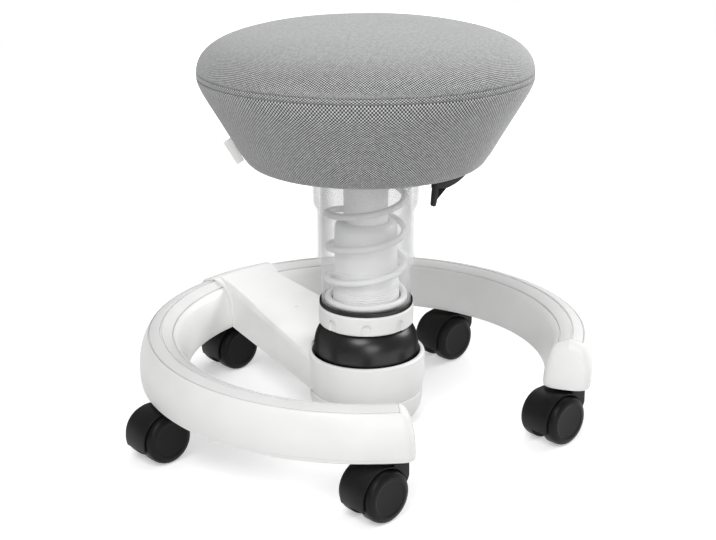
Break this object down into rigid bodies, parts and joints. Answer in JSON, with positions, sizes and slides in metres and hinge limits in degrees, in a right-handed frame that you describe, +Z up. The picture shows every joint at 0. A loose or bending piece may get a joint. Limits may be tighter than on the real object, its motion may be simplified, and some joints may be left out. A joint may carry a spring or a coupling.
{
  "type": "wobble stool",
  "caption": "Low round padded wobble stool on a covered coil-spring column with a lift lever, ball joint and hub arm, standing in a C-shaped foot ring on twin-wheel castors.",
  "frame": {"origin": "on the floor under the middle of the whole outline at rest", "axes": "+Z up; the mouth of the foot ring faces -Y and the hub arm runs to +Y; the castors trail to -X"},
  "size_m": [0.4734, 0.4276, 0.4036],
  "materials": {
    "white_plastic": "satin white injection-moulded plastic",
    "grey_plastic": "smooth light grey plastic",
    "clear_plastic": "clear, slightly smoky plastic",
    "black_plastic": "fine-grained black plastic",
    "black_paint": "black powder-coated pressed steel",
    "wheel_plastic": "black wheel plastic, satin faces",
    "black_rubber": "smooth black rubber with a soft shine",
    "steel": "bright zinc-plated steel",
    "spring_steel": "light grey powder-coated spring wire",
    "seat_fabric": "grey flecked woven upholstery over foam",
    "tag_fabric": "plain white woven tape"
  },
  "bodies": {
    "base": {"foot_ring": "white_plastic", "tread_outer": "white_plastic", "tread_inner": "white_plastic", "hub_arm": "white_plastic", "arm_bolt_left": "steel", "arm_bolt_right": "steel", "joint_housing": "white_plastic", "housing_cap": "grey_plastic", "flex_block": "black_rubber", "castor_stem_left_front": "steel", "castor_stem_left_rear": "steel", "castor_stem_rear": "steel", "castor_stem_right_rear": "steel", "castor_stem_right_front": "steel"},
    "gimbal": {"gimbal_ring": "steel"},
    "strut": {"strut_foot": "steel", "guide_tube": "grey_plastic", "guide_bush": "white_plastic", "ball_sleeve": "black_rubber"},
    "adjuster": {"adjuster_ring": "white_plastic"},
    "preload": {"spring_seat": "black_rubber", "lower_cover": "clear_plastic", "coil_spring": "spring_steel"},
    "lift": {"lift_tube": "grey_plastic", "spring_plate": "steel"},
    "rod": {"piston_rod": "steel", "thrust_bearing": "steel"},
    "seat": {"pressure_cylinder": "steel", "seat_plate": "black_paint", "seat_pan": "black_plastic", "seat_cushion": "seat_fabric", "seat_tag": "tag_fabric", "upper_cover": "clear_plastic", "lever_pin": "steel", "seat_screw_1": "steel", "seat_screw_2": "steel", "seat_screw_3": "steel", "seat_screw_4": "steel"},
    "lever": {"release_lever": "black_plastic"},
    "pin": {"release_pin": "steel"},
    "castor_left_front": {"castor_housing_left_front": "black_plastic", "castor_axle_left_front": "steel"},
    "wheel_left_front_a": {"castor_wheel_left_front_a": "wheel_plastic"},
    "wheel_left_front_b": {"castor_wheel_left_front_b": "wheel_plastic"},
    "castor_left_rear": {"castor_housing_left_rear": "black_plastic", "castor_axle_left_rear": "steel"},
    "wheel_left_rear_a": {"castor_wheel_left_rear_a": "wheel_plastic"},
    "wheel_left_rear_b": {"castor_wheel_left_rear_b": "wheel_plastic"},
    "castor_rear": {"castor_housing_rear": "black_plastic", "castor_axle_rear": "steel"},
    "wheel_rear_a": {"castor_wheel_rear_a": "wheel_plastic"},
    "wheel_rear_b": {"castor_wheel_rear_b": "wheel_plastic"},
    "castor_right_rear": {"castor_housing_right_rear": "black_plastic", "castor_axle_right_rear": "steel"},
    "wheel_right_rear_a": {"castor_wheel_right_rear_a": "wheel_plastic"},
    "wheel_right_rear_b": {"castor_wheel_right_rear_b": "wheel_plastic"},
    "castor_right_front": {"castor_housing_right_front": "black_plastic", "castor_axle_right_front": "steel"},
    "wheel_right_front_a": {"castor_wheel_right_front_a": "wheel_plastic"},
    "wheel_right_front_b": {"castor_wheel_right_front_b": "wheel_plastic"}
  },
  "joints": [
    {"name": "swivel_left_front", "type": "hinge", "parent": "base", "child": "castor_left_front", "pos_m": [-0.11411, -0.18517, 0.045], "axis": [0, 0, 1], "continuous": true},
    {"name": "wheel_spin_left_front_a", "type": "hinge", "parent": "castor_left_front", "child": "wheel_left_front_a", "pos_m": [-0.13461, -0.20017, 0.025], "axis": [0, 1, 0], "continuous": true},
    {"name": "wheel_spin_left_front_b", "type": "hinge", "parent": "castor_left_front", "child": "wheel_left_front_b", "pos_m": [-0.13461, -0.17017, 0.025], "axis": [0, 1, 0], "continuous": true},
    {"name": "swivel_left_rear", "type": "hinge", "parent": "base", "child": "castor_left_rear", "pos_m": [-0.1888, 0.0447, 0.045], "axis": [0, 0, 1], "continuous": true},
    {"name": "wheel_spin_left_rear_a", "type": "hinge", "parent": "castor_left_rear", "child": "wheel_left_rear_a", "pos_m": [-0.2093, 0.0297, 0.025], "axis": [0, 1, 0], "continuous": true},
    {"name": "wheel_spin_left_rear_b", "type": "hinge", "parent": "castor_left_rear", "child": "wheel_left_rear_b", "pos_m": [-0.2093, 0.0597, 0.025], "axis": [0, 1, 0], "continuous": true},
    {"name": "swivel_rear", "type": "hinge", "parent": "base", "child": "castor_rear", "pos_m": [0.00674, 0.18677, 0.045], "axis": [0, 0, 1], "continuous": true},
    {"name": "wheel_spin_rear_a", "type": "hinge", "parent": "castor_rear", "child": "wheel_rear_a", "pos_m": [-0.01376, 0.17177, 0.025], "axis": [0, 1, 0], "continuous": true},
    {"name": "wheel_spin_rear_b", "type": "hinge", "parent": "castor_rear", "child": "wheel_rear_b", "pos_m": [-0.01376, 0.20177, 0.025], "axis": [0, 1, 0], "continuous": true},
    {"name": "swivel_right_rear", "type": "hinge", "parent": "base", "child": "castor_right_rear", "pos_m": [0.20228, 0.0447, 0.045], "axis": [0, 0, 1], "continuous": true},
    {"name": "wheel_spin_right_rear_a", "type": "hinge", "parent": "castor_right_rear", "child": "wheel_right_rear_a", "pos_m": [0.18178, 0.0297, 0.025], "axis": [0, 1, 0], "continuous": true},
    {"name": "wheel_spin_right_rear_b", "type": "hinge", "parent": "castor_right_rear", "child": "wheel_right_rear_b", "pos_m": [0.18178, 0.0597, 0.025], "axis": [0, 1, 0], "continuous": true},
    {"name": "swivel_right_front", "type": "hinge", "parent": "base", "child": "castor_right_front", "pos_m": [0.12759, -0.18517, 0.045], "axis": [0, 0, 1], "continuous": true},
    {"name": "wheel_spin_right_front_a", "type": "hinge", "parent": "castor_right_front", "child": "wheel_right_front_a", "pos_m": [0.10709, -0.20017, 0.025], "axis": [0, 1, 0], "continuous": true},
    {"name": "wheel_spin_right_front_b", "type": "hinge", "parent": "castor_right_front", "child": "wheel_right_front_b", "pos_m": [0.10709, -0.17017, 0.025], "axis": [0, 1, 0], "continuous": true},
    {"name": "sway_x", "type": "hinge", "parent": "base", "child": "gimbal", "pos_m": [0.00674, -0.01883, 0.078], "axis": [1, 0, 0], "range_deg": [-9, 9], "stiffness_Nm_per_rad": 90, "deforming": ["flex_block"]},
    {"name": "sway_y", "type": "hinge", "parent": "gimbal", "child": "strut", "pos_m": [0.00674, -0.01883, 0.078], "axis": [0, 1, 0], "range_deg": [-9, 9], "stiffness_Nm_per_rad": 90, "deforming": ["flex_block"]},
    {"name": "adjuster_turn", "type": "hinge", "parent": "strut", "child": "adjuster", "pos_m": [0.00674, -0.01883, 0.115], "axis": [0, 0, 1], "range_deg": [0, 270]},
    {"name": "preload_lift", "type": "slide", "parent": "strut", "child": "preload", "axis": [0, 0, 1], "range_m": [0, 0.003], "deforming": ["coil_spring"]},
    {"name": "bounce", "type": "slide", "parent": "strut", "child": "lift", "axis": [0, 0, 1], "range_m": [-0.036, 0], "stiffness_N_per_m": 9000, "springref_m": 0.02, "deforming": ["coil_spring"]},
    {"name": "seat_swivel", "type": "hinge", "parent": "lift", "child": "rod", "pos_m": [0.00674, -0.01883, 0.146], "axis": [0, 0, 1], "continuous": true},
    {"name": "seat_height", "type": "slide", "parent": "rod", "child": "seat", "axis": [0, 0, 1], "range_m": [0, 0.08]},
    {"name": "lever_pull", "type": "hinge", "parent": "seat", "child": "lever", "pos_m": [0.00831, -0.04879, 0.316], "axis": [-0.9986, -0.0523, 0], "range_deg": [0, 3.5], "stiffness_Nm_per_rad": 0.8, "springref_deg": -5.73},
    {"name": "release_pin_press", "type": "slide", "parent": "seat", "child": "pin", "axis": [0, 0, 1], "range_m": [-0.0018, 0]}
  ],
  "couplings": [
    {"joint": "adjuster_turn", "follows": "preload_lift", "rad_per_m": 1570},
    {"joint": "lever_pull", "follows": "release_pin_press", "rad_per_m": -33.9}
  ]
}
